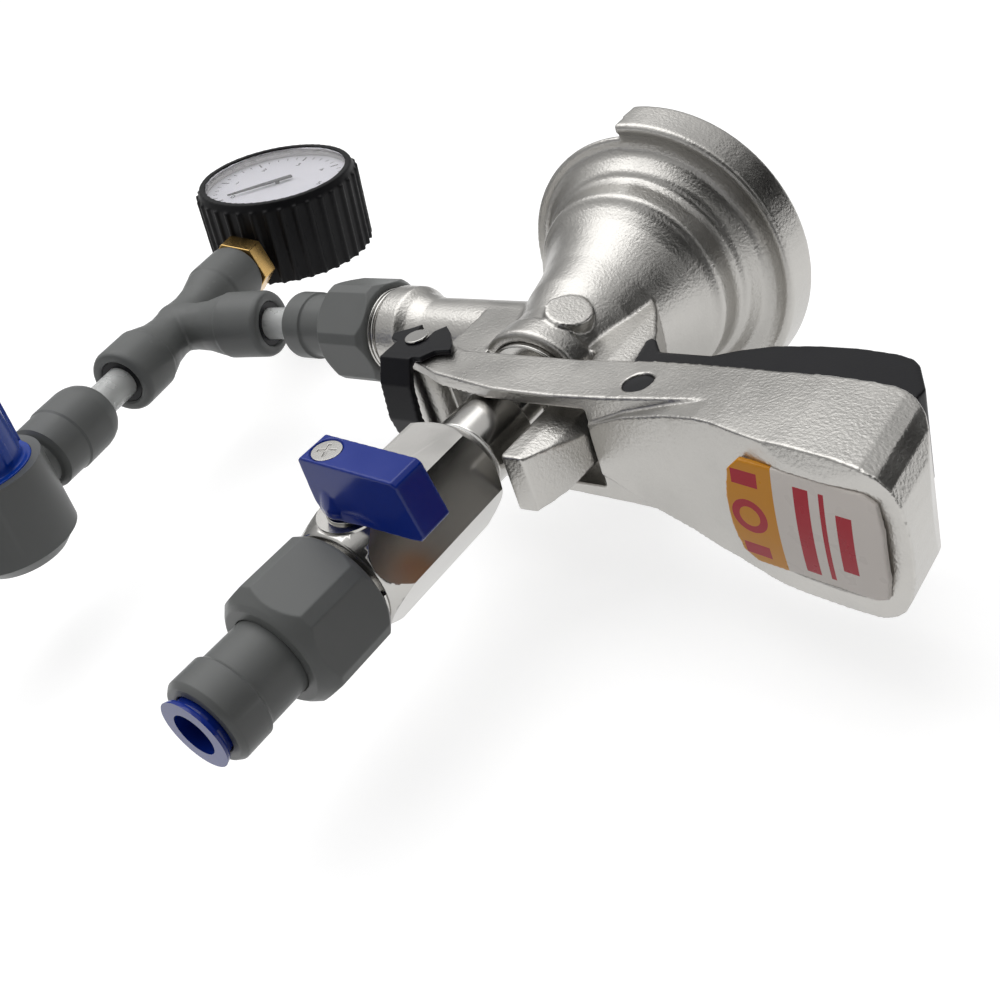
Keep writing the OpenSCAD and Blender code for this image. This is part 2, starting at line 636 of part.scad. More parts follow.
module valve_body() {
  color(bright) lay() translate([0, 0, valve_z]) difference() {
    union() {
      intersection() {
        rotate([0, 0, valve_turn - 30]) cylinder(r = valve_r, h = valve_len, $fn = 6);
        rotate_extrude($fn = fine) valve_profile();
      }
      translate([0, 0, valve_len - wall]) cylinder(r = thread_r - wall * 0.4, h = wall * 2, $fn = fine);
      translate([0, 0, valve_len + wall * 0.5]) cylinder(r = thread_r, h = wall * 4.2, $fn = fine);
      translate([0, 0, valve_len - stem_back]) rotate([0, 0, valve_turn]) rotate([0, 90, 0])
        cylinder(r = stem_r * 1.04, h = valve_af / 2 + unit * 0.6, $fn = fine);
    }
    translate([0, 0, -over]) cylinder(r = stem_r, h = wall * 4.5 + over, $fn = fine);
    translate([0, 0, wall * 4]) cylinder(r = flow_r, h = valve_len * 2, $fn = fine);
    translate([0, 0, valve_len - stem_back - ball_r - wall * 2]) cylinder(r = ball_r + wall * 0.6, h = valve_len * 2, $fn = fine);
    translate([0, 0, valve_len - stem_back]) rotate([0, 0, valve_turn]) rotate([0, 90, 0]) {
      cylinder(r = stem_r * 0.4 + run_gap, h = valve_af, $fn = fine);
      translate([0, 0, valve_af / 2 - wall * 1.4]) cylinder(r = stem_r * 0.7, h = valve_af, $fn = fine);
    }
  }
}

module valve_insert() {
  color(bright) lay() translate([0, 0, stem_z + ball_r + wall * 0.6])
    ring(ball_r + wall * 0.6, flow_r, stem_back + wall * 4.7 - ball_r - wall * 0.6);
}

module valve_ball() {
  color(bright) lay() translate([0, 0, stem_z]) difference() {
    sphere(r = ball_r, $fn = fine);
    rotate([0, 0, valve_turn]) rotate([90, 0, 0]) cylinder(r = flow_r, h = ball_r * 3, center = true, $fn = mid);
    rotate([0, 0, valve_turn]) translate([ball_r - wall * 0.7, -ball_r, -wall * 0.5])
      cube([ball_r, ball_r * 2, wall]);
  }
}

module ball_seats() {
  color(white) lay() for (side = [-1, 1]) {
    translate([0, 0, stem_z]) difference() {
      translate([0, 0, side > 0 ? ball_r - wall * 1.4 : -ball_r - wall * 2 + over / 6])
        ring(ball_r + wall * 0.55, flow_r + unit * 0.2, wall * 2);
      sphere(r = ball_r + fit_gap / 2, $fn = fine);
    }
  }
}

module valve_stem() {
  color(bright) lay() on_stem() {
    translate([0, 0, ball_r - wall * 0.7 + fit_gap]) intersection() {
      cylinder(r = stem_r * 0.4, h = wall * 1.2, $fn = fine);
      translate([-wall * 0.5 + fit_gap, -ball_r, 0]) cube([wall - fit_gap * 2, ball_r * 2, wall * 2]);
    }
    translate([0, 0, ball_r + wall * 0.25]) cylinder(r = stem_r * 0.4, h = lever_top - ball_r - wall * 2.4, $fn = fine);
  }
}

module stem_packing() {
  color(white) lay() on_stem() translate([0, 0, valve_af / 2 - wall * 1.4])
    ring(stem_r * 0.7, stem_r * 0.4 + run_gap, wall * 1.3);
}

module gland_nut() {
  color(bright) lay() on_stem() translate([0, 0, valve_af / 2 - wall * 0.1])
    ring(stem_r * 0.7, stem_r * 0.4 + run_gap, unit * 1.4);
}

module lever_side() {
  polygon([
    [stem_r * 0.5, lever_foot], [stem_r * 1.2, lever_foot + unit * 0.5], [lever_len * 0.86, lever_foot + unit * 0.9],
    [lever_len * 0.96, lever_foot + unit * 1.3], [lever_len, lever_foot + unit * 2.4], [lever_len * 0.86, lever_top - unit * 0.7],
    [lever_len * 0.82, lever_top], [-stem_r * 0.56, lever_top], [-stem_r * 0.66, lever_top - unit * 0.7],
    [-stem_r * 0.6, lever_foot + wall * 2], [-stem_r * 0.4, lever_foot]
  ]);
}

module valve_lever() {
  color(blue) lay() on_stem() difference() {
    union() {
      rotate([0, 0, 90]) translate([0, stem_r * 0.62, 0]) rotate([90, 0, 0])
        linear_extrude(height = stem_r * 1.24) mirror([1, 0, 0]) lever_side();
      rotate_extrude($fn = fine) polygon([
        [0, lever_foot], [stem_r * 0.62, lever_foot], [stem_r * 0.72, lever_foot + unit * 0.6],
        [stem_r * 0.74, lever_foot + wall * 1.4], [stem_r * 0.66, lever_foot + wall * 3], [stem_r * 0.5, lever_top - wall * 1.6],
        [0, lever_top - wall * 1.6]
      ]);
    }
    translate([0, 0, lever_top - unit * 0.6]) cylinder(r = stem_r * 0.52, h = wall, $fn = fine);
    translate([0, 0, lever_foot - unit]) cylinder(r = stem_r * 0.4, h = lever_top - lever_foot - wall * 2 + unit, $fn = fine);
    translate([0, 0, lever_foot]) cylinder(r = wall * 0.75, h = lever_top, $fn = low);
  }
}

module lever_screw() {
  color(bright) lay() on_stem() difference() {
    union() {
      translate([0, 0, lever_top - unit * 0.6]) cylinder(r = stem_r * 0.48, h = unit * 0.45, $fn = fine);
      translate([0, 0, lever_top - wall * 1.8]) cylinder(r = wall * 0.75, h = wall * 1.6, $fn = low);
    }
    for (turn = [20, 110]) {
      translate([0, 0, lever_top]) rotate([0, 0, turn]) cube([stem_r * 0.6, wall * 0.35, unit * 0.8], center = true);
    }
  }
}

module valve_washer() {
  color(white) lay() translate([0, 0, seat_z]) ring(collar_r - unit * 0.1, stem_r, unit);
}

module nut_profile() {
  polygon([
    [0, 0], [nut_af / 2 - wall * 0.3, 0], [nut_af / 2, wall * 0.15], [nut_cut * 1.02, wall * 1.2],
    [nut_cut * 1.02, nut_len - wall * 1.8], [nut_af / 2 - unit, nut_len - wall * 0.4], [nut_af / 2 - wall, nut_len], [0, nut_len]
  ]);
}

module nut(turn) {
  translate([0, 0, unit * 1.5]) difference() {
    intersection() {
      rotate([0, 0, turn]) cylinder(r = nut_r, h = nut_len, $fn = 6);
      rotate([0, 0, turn + 30]) cylinder(r = nut_cut / cos(30), h = nut_len, $fn = 6);
      rotate_extrude($fn = fine) nut_profile();
    }
    translate([0, 0, -over]) cylinder(r = thread_r + fit_gap, h = wall * 6.2 + over, $fn = fine);
    translate([0, 0, wall * 5]) cylinder(r = body_r + fit_gap, h = nut_len, $fn = fine);
  }
}

module liquid_nut() {
  color(grey) lay() on_liquid() nut(valve_turn - 46);
}

module gas_nut() {
  color(grey) lay() on_gas() nut(20);
}

module fitting_profile() {
  polygon([
    [flow_r, wall * 5.9], [thread_r - unit * 0.4, wall * 5.9], [thread_r - unit * 0.4, wall * 6.8],
    [body_r, wall * 6.9], [body_r, fit_len - wall * 4.3], [body_r + unit * 0.2, fit_len - wall * 4],
    [cap_r, fit_len - wall * 3.8], [cap_r, fit_len - wall * 0.6], [cap_r - unit * 0.8, fit_len - wall * 0.1],
    [cap_r - unit * 1.2, fit_len], [collet_out + unit * 0.5, fit_len], [collet_out + fit_gap, fit_len - unit * 0.5],
    [collet_out + fit_gap, fit_len - wall * 4.6], [collet_out - unit * 0.3, fit_len - wall * 4.6],
    [collet_out - unit * 0.3, fit_len - wall * 5.6], [tube_r + fit_gap / 2, fit_len - wall * 5.6],
    [tube_r + fit_gap / 2, tube_stop], [flow_r, tube_stop]
  ]);
}

module fitting() {
  rotate_extrude($fn = fine) fitting_profile();
}

module liquid_fitting() {
  color(grey) lay() on_liquid() fitting();
}

module gas_fitting() {
  color(grey) lay() on_gas() fitting();
}

module face_washer() {
  translate([0, 0, wall * 4.7]) ring(thread_r - unit * 0.5, flow_r + unit, wall * 1.2);
}

module liquid_washer() {
  color(rubber) lay() on_liquid() face_washer();
}

module gas_washer() {
  color(rubber) lay() on_gas() face_washer();
}

module collet(head, flange_r) {
  difference() {
    union() {
      translate([0, 0, -wall * 3.9]) cylinder(r = collet_out, h = wall * 3.9 + head, $fn = fine);
      if (head > 0) translate([0, 0, head]) cylinder(r1 = flange_r - unit * 0.3, r2 = flange_r, h = unit, $fn = fine);
    }
    translate([0, 0, -wall * 6]) cylinder(r = collet_in, h = wall * 10, $fn = fine);
    for (turn = [0, 90]) {
      translate([0, 0, -wall * 3.2]) rotate([0, 0, turn]) cube([collet_out * 3, unit * 0.8, wall * 2.6], center = true);
    }
  }
}

module liquid_collet() {
  color(blue) lay() on_liquid() translate([0, 0, fit_len]) collet(unit * 1.4, cap_r * 0.82);
}

module gas_collet() {
  color(black) lay() on_gas() translate([0, 0, fit_len]) collet(-unit * 0.6, 0);
}

module port_o_ring() {
  translate([0, 0, -wall * 5.1]) rotate_extrude($fn = fine) intersection() {
    translate([tube_r + fit_gap / 2 + ring_t * 0.5, 0]) circle(r = ring_t * 0.6, $fn = low);
    translate([tube_r + fit_gap / 2, -wall * 0.48]) square([collet_out - unit * 0.35 - tube_r - fit_gap / 2, wall * 0.96]);
  }
}

module liquid_o_ring() {
  color(rubber) lay() on_liquid() translate([0, 0, fit_len]) port_o_ring();
}

module gas_o_ring() {
  color(rubber) lay() on_gas() translate([0, 0, fit_len]) port_o_ring();
}

module tube(h) {
  ring(tube_r, tube_r * 0.66, h);
}

// half of the space, cut by the plane that halves the bend of the gas tube, on its outer or its inner side
module bend_side(side) {
  translate([-bend_x, 0, gas_z]) rotate([bend_lean, 0, 0]) rotate([0, tube_bend / 2, 0])
    translate([side * bend_x / 2, 0, 0]) cube([bend_x, cap_r * 4, cap_r * 4], center = true);
}

module gas_tube() {
  color(white) lay() {
    difference() {
      translate([-gas_face_x - tube_stop - fit_gap, 0, gas_z]) rotate([0, -90, 0])
        tube(bend_x - gas_face_x - tube_stop - fit_gap + tube_r);
      bend_side(-1);
    }
    difference() {
      on_bend(tee_reach - tee_arm + tube_in - fit_gap) rotate([0, 90, 0]) tube(tee_reach - tee_arm + tube_in - fit_gap + tube_r);
      bend_side(1);
    }
  }
}

module arm_profile(len) {
  polygon([
    [0, 0], [cap_r * 0.78, 0], [cap_r * 0.74, len * 0.2], [cap_r * 0.8, len * 0.36], [tee_r * 0.93, len * 0.52],
    [tee_r * 0.95, len * 0.56], [tee_r, len * 0.58], [tee_r, len - wall * 0.8], [tee_r - unit * 0.5, len - wall * 0.2],
    [tee_r - unit, len], [0, len]
  ]);
}

module arm(len) {
  rotate_extrude($fn = fine) arm_profile(len);
}

module port_bore(len) {
  translate([0, 0, -wall * 4.6]) cylinder(r = collet_out + fit_gap, h = wall * 5, $fn = fine);
  translate([0, 0, -unit * 0.5]) cylinder(r1 = collet_out + fit_gap, r2 = collet_out + fit_gap + unit, h = unit, $fn = fine);
  translate([0, 0, -wall * 5.6]) cylinder(r = collet_out - unit * 0.3, h = wall * 2, $fn = fine);
  translate([0, 0, -wall * 8]) cylinder(r = tube_r + fit_gap / 2, h = wall * 8, $fn = fine);
  translate([0, 0, -len]) cylinder(r = flow_r, h = len, $fn = fine);
}

module tee_ports() {
  translate([0, 0, low_arm]) children();
  rotate([180, 0, 0]) translate([0, 0, top_arm]) children();
  rotate([0, 90, 0]) translate([0, 0, tee_arm]) children();
}

module tee_body() {
  color(grey) lay() on_tee() difference() {
    union() {
      arm(low_arm);
      rotate([180, 0, 0]) arm(top_arm);
      rotate([0, 90, 0]) arm(tee_arm);
      sphere(r = cap_r * 0.8, $fn = mid);
    }
    tee_ports() port_bore(tee_arm);
  }
}

module tee_collets() {
  color(black) lay() on_tee() tee_ports() collet(-unit * 0.6, 0);
}

module tee_o_rings() {
  color(rubber) lay() on_tee() tee_ports() port_o_ring();
}

case_r = boot_r - wall * 1.3;
case_d = wall * 13;
case_in = case_r - unit;
hex_lo = top_arm + unit * 0.4;

module gauge_stem() {
  color(gold) lay() on_tee() rotate([180, 0, 0]) difference() {
    union() {
      translate([0, 0, top_arm - wall * 7.9]) cylinder(r = tube_r, h = gauge_x - top_arm - case_r * 0.62 + wall * 7.9, $fn = mid);
      translate([0, 0, hex_lo]) rotate([0, 0, 15]) cylinder(r = tee_r * 1.06, h = wall * 3.6, $fn = 6);
    }
    translate([0, 0, top_arm - wall * 9]) cylinder(r = tube_r * 0.4, h = wall * 16, $fn = low);
  }
}

module gauge_case() {
  color(bright) lay() difference() {
    on_gauge() translate([0, 0, dial_h - case_d]) difference() {
      cylinder(r = case_r, h = case_d, $fn = fine);
      translate([0, 0, unit]) cylinder(r = case_in, h = case_d, $fn = fine);
    }
    on_tee() rotate([180, 0, 0]) cylinder(r = tube_r + fit_gap / 2, h = gauge_x, $fn = mid);
  }
}

module boot_plan() {
  circle(r = boot_r - unit, $fn = fine);
  for (turn = [0 : 10 : 350]) {
    rotate([0, 0, turn]) translate([boot_r - unit, 0]) circle(r = unit, $fn = 12);
  }
}

module gauge_boot() {
  color(rubber) lay() difference() {
    on_gauge() translate([0, 0, dial_h - case_d - wall]) difference() {
      union() {
        linear_extrude(height = case_d + wall * 0.2) boot_plan();
        translate([0, 0, case_d + wall * 0.2 - eps]) cylinder(r1 = boot_r - unit, r2 = boot_r - wall, h = wall * 1.2, $fn = fine);
      }
      translate([0, 0, wall]) cylinder(r = case_r, h = case_d + eps, $fn = fine);
      translate([0, 0, wall]) cylinder(r = case_in - unit * 0.5, h = case_d * 2, $fn = fine);
    }
    on_tee() rotate([180, 0, 0]) cylinder(r = tube_r + fit_gap / 2, h = gauge_x, $fn = mid);
    on_tee() rotate([180, 0, 0]) translate([0, 0, hex_lo - over]) rotate([0, 0, 15])
      cylinder(r = tee_r * 1.06 + unit * 0.3, h = wall * 3.6 + over + unit * 0.3, $fn = 6);
  }
}

module gauge_dial() {
  color(white) lay() on_gauge() translate([0, 0, dial_h - wall * 2.2]) difference() {
    cylinder(r = case_in - eps, h = unit * 0.8, $fn = fine);
    translate([0, 0, -over]) cylinder(r = unit * 0.9, h = wall * 2, $fn = low);
  }
}

module gauge_needle() {
  color(black) lay() on_gauge() {
    translate([0, 0, dial_h - wall * 3.4]) cylinder(r = unit * 0.8, h = wall * 2.3, $fn = low);
    translate([0, 0, dial_h - wall * 1.4]) rotate([0, 0, 225]) linear_extrude(height = unit * 0.6) polygon([
      [-case_in * 0.22, -unit * 0.9], [case_in * 0.2, -unit * 0.8], [case_in * 0.72, -unit * 0.2],
      [case_in * 0.72, unit * 0.2], [case_in * 0.2, unit * 0.8], [-case_in * 0.22, unit * 0.9]
    ]);
  }
}

module gauge_lens() {
  color(white) lay() on_gauge() translate([0, 0, dial_h - unit]) cylinder(r = case_in - eps, h = unit, $fn = fine);
}

module gauge_tube() {
  color(gold) lay() on_gauge() translate([0, 0, dial_h - case_d * 0.55]) {
    rotate([0, 0, -60]) rotate_extrude(angle = 240, $fn = mid) translate([case_in * 0.68, 0])
      square([unit * 1.6, wall * 2.4], center = true);
    difference() {
      translate([-wall * 3, -case_in * 0.3, -case_d * 0.45 + unit]) cube([wall * 6, case_in * 0.6, case_d * 0.58]);
      translate([0, 0, -case_d]) cylinder(r = unit * 0.9, h = case_d * 2, $fn = low);
    }
    translate([-wall * 1.5, case_in * 0.2, -wall]) cube([wall * 3, case_in * 0.5, wall * 2]);
    translate([-wall * 1.5, -case_r * 0.62 + fit_gap, -wall]) cube([wall * 3, case_in * 0.5, wall * 2]);
  }
}

tube_gap = wall * 6.8;
relief_port = relief_x - low_arm - tube_gap;

module relief_tube() {
  color(white) lay() on_tee() translate([0, 0, low_arm - wall * 8 + fit_gap]) tube(wall * 16 + tube_gap - fit_gap * 2);
}

module relief_body() {
  color(grey) lay() on_relief() difference() {
    union() {
      rotate([-90, 0, 0]) arm_straight(relief_port);
      rotate([90, 0, 0]) arm_straight(relief_port * 0.8);
      translate([0, 0, -relief_r * 0.72]) cylinder(r = relief_r * 0.94, h = relief_r * 1.3, $fn = fine);
      translate([0, 0, -relief_r * 0.96]) cylinder(r1 = relief_r * 0.7, r2 = relief_r * 0.94, h = relief_r * 0.26, $fn = fine);
    }
    translate([0, 0, -relief_r * 0.1]) cylinder(r = relief_r * 0.8, h = relief_r * 2, $fn = fine);
    translate([0, 0, -relief_r * 0.6]) cylinder(r = flow_r, h = relief_r, $fn = low);
    rotate([-90, 0, 0]) translate([0, 0, relief_port]) port_bore(relief_port);
    rotate([90, 0, 0]) translate([0, 0, relief_port * 0.8]) port_bore(relief_port * 0.8);
  }
}

module arm_straight(len) {
  rotate_extrude($fn = fine) polygon([
    [0, 0], [body_r * 0.8, 0], [body_r * 0.8, len - wall * 13], [body_r * 0.92, len - wall * 12.8], [body_r * 1.06, len - wall * 12.3],
    [body_r * 1.08, len - wall * 8.2], [tee_r, len - wall * 7.9], [tee_r, len - wall * 3], [tee_r * 0.97, len - wall * 2],
    [tee_r * 0.91, len - wall * 1.1], [tee_r * 0.82, len - wall * 0.4], [tee_r * 0.72, len], [0, len]
  ]);
}

module inlet_collet() {
  color(black) lay() on_relief() {
    rotate([-90, 0, 0]) translate([0, 0, relief_port]) collet(-unit * 0.6, 0);
  }
}

module outlet_collet() {
  color(blue) lay() on_relief() rotate([90, 0, 0]) translate([0, 0, relief_port * 0.8]) collet(unit * 1.4, cap_r * 0.82);
}

module relief_o_rings() {
  color(rubber) lay() on_relief() {
    rotate([-90, 0, 0]) translate([0, 0, relief_port]) port_o_ring();
    rotate([90, 0, 0]) translate([0, 0, relief_port * 0.8]) port_o_ring();
  }
}

module relief_diaphragm() {
  color(rubber) lay() on_relief() translate([0, 0, -relief_r * 0.1]) cylinder(r = relief_r * 0.79, h = unit, $fn = fine);
}

module relief_plate() {
  color(bright) lay() on_relief() translate([0, 0, -relief_r * 0.1 + unit]) {
    cylinder(r = knob_r * 0.55, h = unit, $fn = mid);
    cylinder(r = knob_r * 0.16, h = wall * 2, $fn = low);
  }
}

relief_turns = 6;
relief_pitch = wall;
relief_wire = unit * 0.6;
relief_spring_r = knob_r * 0.36;
spring_base = -relief_r * 0.1 + wall + relief_wire * 1.02;
echo(relief_gap = relief_pitch - relief_wire * 2);

module relief_spring() {
  color(bright) lay() on_relief() translate([0, 0, spring_base])
    coil(relief_turns, relief_pitch, relief_spring_r, relief_wire);
}

knob_lo = relief_r * 0.6;
knob_top = knob_lo + knob_r * 2.2;

module relief_knob() {
  color(blue) lay() on_relief() difference() {
    union() {
      translate([0, 0, knob_lo]) cylinder(r = knob_r, h = knob_top - knob_lo - unit * 1.5, $fn = fine);
      translate([0, 0, knob_top - unit * 1.5]) cylinder(r1 = knob_r, r2 = knob_r - unit * 1.5, h = unit * 1.5, $fn = fine);
      translate([0, 0, relief_r * 0.2]) cylinder(r = relief_r * 0.8 - run_gap, h = knob_lo - relief_r * 0.2 + eps, $fn = fine);
      for (turn = [0 : 60 : 300]) {
        rotate([0, 0, turn]) translate([knob_r - unit, -unit * 1.2, knob_lo + wall]) cube([wall * 0.9, unit * 2.4, knob_r * 1.7]);
      }
    }
    translate([0, 0, -relief_r]) cylinder(r = knob_r * 0.5, h = relief_r + spring_base + relief_turns * relief_pitch + relief_wire, $fn = mid);
  }
}

coupler_body();
keg_seal();
probe();
probe_seal();
probe_o_ring();
handle();
handle_label();
trigger();
trigger_pin();
trigger_spring();
hinge_pin();
hinge_clip();
valve_body();
valve_insert();
valve_ball();
ball_seats();
valve_stem();
stem_packing();
gland_nut();
valve_lever();
lever_screw();
valve_washer();
liquid_nut();
liquid_fitting();
liquid_washer();
liquid_collet();
liquid_o_ring();
gas_nut();
gas_fitting();
gas_washer();
gas_collet();
gas_o_ring();
gas_tube();
tee_body();
tee_collets();
tee_o_rings();
gauge_stem();
gauge_case();
gauge_boot();
gauge_dial();
gauge_needle();
gauge_lens();
gauge_tube();
relief_tube();
relief_body();
inlet_collet();
outlet_collet();
relief_o_rings();
relief_diaphragm();
relief_plate();
relief_spring();
relief_knob();
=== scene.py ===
import bpy
import bmesh
import json
import math
from mathutils import Matrix, Vector


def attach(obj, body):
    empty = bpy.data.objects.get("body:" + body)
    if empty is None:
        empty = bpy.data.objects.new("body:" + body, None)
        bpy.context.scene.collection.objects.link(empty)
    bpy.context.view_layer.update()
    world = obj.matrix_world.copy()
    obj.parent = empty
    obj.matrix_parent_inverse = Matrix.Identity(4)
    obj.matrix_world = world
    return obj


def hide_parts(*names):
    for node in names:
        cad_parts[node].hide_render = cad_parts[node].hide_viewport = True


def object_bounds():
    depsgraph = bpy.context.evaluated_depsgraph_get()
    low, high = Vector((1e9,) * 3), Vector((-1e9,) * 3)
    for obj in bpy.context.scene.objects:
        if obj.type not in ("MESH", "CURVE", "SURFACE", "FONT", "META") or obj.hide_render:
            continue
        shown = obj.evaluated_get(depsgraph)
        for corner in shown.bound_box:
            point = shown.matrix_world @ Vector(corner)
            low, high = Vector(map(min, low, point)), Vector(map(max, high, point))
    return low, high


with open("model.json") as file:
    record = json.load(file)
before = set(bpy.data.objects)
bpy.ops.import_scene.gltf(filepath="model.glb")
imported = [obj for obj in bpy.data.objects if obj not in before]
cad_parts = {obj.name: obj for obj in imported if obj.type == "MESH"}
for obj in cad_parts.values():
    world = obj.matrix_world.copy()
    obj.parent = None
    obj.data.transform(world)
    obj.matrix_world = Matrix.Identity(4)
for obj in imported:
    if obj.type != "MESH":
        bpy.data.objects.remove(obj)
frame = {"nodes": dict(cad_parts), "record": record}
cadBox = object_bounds()
nodes = frame["nodes"]
record = frame["record"]
scene = bpy.context.scene
print("frame loaded:", len(nodes), "nodes")

# camera, solved from the circles and hexagons of the coupler
cameraValues = {"lens": 41.42, "sensor": 36.0, "near": 0.01, "far": 50.0, "place": (0.16149, -0.24078, 0.12937),
                "right": (0.7803, 0.55509, -0.28812), "forward": (-0.60973, 0.57267, -0.54798)}
camData = bpy.data.cameras.new("photoCamera")
camData.lens = cameraValues["lens"]
camData.sensor_width = cameraValues["sensor"]
camData.clip_start = cameraValues["near"]
camData.clip_end = cameraValues["far"]
cam = bpy.data.objects.new("photoCamera", camData)
scene.collection.objects.link(cam)
right = Vector(cameraValues["right"]).normalized()
forward = Vector(cameraValues["forward"])
forward = (forward - forward.project(right)).normalized()
up = right.cross(forward)
place = Matrix((right, up, -forward)).transposed().to_4x4()
place.translation = Vector(cameraValues["place"])
cam.matrix_world = place
scene.camera = cam
scene.view_settings.view_transform = "Standard"

# floor, world and lamp
studio = {"floorSize": 12.0, "floorDrop": 0.0002, "floorColour": 0.5, "floorLift": 0.72, "skyTop": 0.75,
          "skySide": 0.26, "skyRise": 0.75, "mirrorShare": 0.26, "keyPower": 7.5, "keySize": 1.2,
          "keyPlace": (-0.35, 0.15, 1.15), "panelSize": 1.4, "panelAway": 1.25, "panelColour": 0.02,
          "panelTurned": (0.8, 0.57, 0.2)}


def nodeTree(material):
    material.use_nodes = True
    tree = material.node_tree
    tree.nodes.clear()
    return tree


def largest(tree, first, *others):
    # the largest of several values in a node tree
    level = first
    for source in others:
        lift = tree.nodes.new("ShaderNodeMath")
        lift.operation = "MAXIMUM"
        tree.links.new(source, lift.inputs[0])
        tree.links.new(level, lift.inputs[1])
        level = lift.outputs[0]
    return level


def scaled(tree, source, share):
    amount = tree.nodes.new("ShaderNodeMath")
    amount.operation = "MULTIPLY"
    amount.inputs[1].default_value = share
    tree.links.new(source, amount.inputs[0])
    return amount.outputs[0]


def plainMesh(name, corners, faces, paint):
    mesh = bpy.data.meshes.new(name)
    mesh.from_pydata(corners, [], faces)
    mesh.materials.append(paint)
    thing = bpy.data.objects.new(name, mesh)
    scene.collection.objects.link(thing)
    return thing


def makeWorld():
    world = bpy.data.worlds.new("studioWorld")
    scene.world = world
    world.use_nodes = True
    tree = world.node_tree
    tree.nodes.clear()
    out = tree.nodes.new("ShaderNodeOutputWorld")
    sky = tree.nodes.new("ShaderNodeBackground")
    coords = tree.nodes.new("ShaderNodeTexCoord")
    split = tree.nodes.new("ShaderNodeSeparateXYZ")
    tree.links.new(coords.outputs["Generated"], split.inputs[0])
    height = tree.nodes.new("ShaderNodeMapRange")
    height.interpolation_type = "SMOOTHSTEP"
    height.inputs["From Min"].default_value = 0.0
    height.inputs["From Max"].default_value = studio["skyRise"]
    height.inputs["To Min"].default_value = studio["skySide"]
    height.inputs["To Max"].default_value = studio["skyTop"]
    tree.links.new(split.outputs["Z"], height.inputs["Value"])
    # the camera and glass see white, metal a share of it
    path = tree.nodes.new("ShaderNodeLightPath")
    mirrored = scaled(tree, path.outputs["Is Glossy Ray"], studio["mirrorShare"])
    level = largest(tree, height.outputs[0], path.outputs["Is Camera Ray"], path.outputs["Is Transmission Ray"],
                    mirrored)
    tree.links.new(level, sky.inputs["Strength"])
    sky.inputs["Color"].default_value = (1, 1, 1, 1)
    tree.links.new(sky.outputs[0], out.inputs["Surface"])


def makeFloor():
    # white to the camera, to metal and through glass, and it keeps the object's shadow
    paint = bpy.data.materials.new("floorPaint")
    tree = nodeTree(paint)
    out = tree.nodes.new("ShaderNodeOutputMaterial")
    matt = tree.nodes.new("ShaderNodeBsdfDiffuse")
    matt.inputs["Color"].default_value = (studio["floorColour"],) * 3 + (1,)
    glow = tree.nodes.new("ShaderNodeEmission")
    glow.inputs["Color"].default_value = (1, 1, 1, 1)
    path = tree.nodes.new("ShaderNodeLightPath")
    seen = largest(tree, path.outputs["Is Camera Ray"], path.outputs["Is Glossy Ray"],
                   path.outputs["Is Transmission Ray"])
    tree.links.new(scaled(tree, seen, studio["floorLift"]), glow.inputs["Strength"])
    both = tree.nodes.new("ShaderNodeAddShader")
    tree.links.new(matt.outputs[0], both.inputs[0])
    tree.links.new(glow.outputs[0], both.inputs[1])
    tree.links.new(both.outputs[0], out.inputs["Surface"])
    half = studio["floorSize"] / 2
    low = cadBox[0].z - studio["floorDrop"]
    corners = [(-half, -half, low), (half, -half, low), (half, half, low), (-half, half, low)]
    plainMesh("floor", corners, [(0, 1, 2, 3)], paint)


def makeDarkRoom(centre):
    # the dark walls of the room, which the polished faces mirror
    paint = bpy.data.materials.new("darkRoomPaint")
    tree = nodeTree(paint)
    out = tree.nodes.new("ShaderNodeOutputMaterial")
    matt = tree.nodes.new("ShaderNodeBsdfDiffuse")
    matt.inputs["Color"].default_value = (studio["panelColour"],) * 3 + (1,)
    tree.links.new(matt.outputs[0], out.inputs["Surface"])
    across = studio["panelSize"] / 2
    corners, faces = [], []
    for away in (-forward, Vector(studio["panelTurned"]).normalized()):
        middle = centre + away * studio["panelAway"]
        side = away.cross(Vector((0, 0, 1))).normalized()
        rise = side.cross(away)
        faces.append([len(corners) + corner for corner in range(4)])
        for a, b in ((-1, -1), (1, -1), (1, 1), (-1, 1)):
            corners.append(tuple(middle + side * a * across + rise * b * across))
    panel = plainMesh("darkRoom", corners, faces, paint)
    panel.visible_camera = False
    panel.visible_shadow = False


def makeLamp(centre):
    lamp = bpy.data.lights.new("keyLamp", "AREA")
    lamp.size = studio["keySize"]
    lamp.energy = studio["keyPower"]
    thing = bpy.data.objects.new("keyLamp", lamp)
    thing.location = studio["keyPlace"]
    thing.rotation_mode = "QUATERNION"
    thing.rotation_quaternion = (centre - thing.location).to_track_quat("-Z", "Y")
    scene.collection.objects.link(thing)


partCentre = (cadBox[0] + cadBox[1]) / 2
makeWorld()
makeFloor()
makeDarkRoom(partCentre)
makeLamp(partCentre)
print("studio ready")

# materials: a fine grain in the bump, a wide drift in colour and gloss, and lighter rubbed edges
wearValues = {"low": 0.3, "high": 0.7, "wideScale": 70.0, "wideDetail": 4.0, "fineDetail": 3.0, "leastRough": 0.02,
              "edgeLow": 0.52, "edgeHigh": 0.62, "edgeGain": 1.25, "edgeLift": 0.05}


def driftRange(tree, source, low, high):
    spread = tree.nodes.new("ShaderNodeMapRange")
    spread.inputs["From Min"].default_value = wearValues["low"]
    spread.inputs["From Max"].default_value = wearValues["high"]
    spread.inputs["To Min"].default_value = low
    spread.inputs["To Max"].default_value = high
    tree.links.new(source, spread.inputs["Value"])
    return spread.outputs[0]


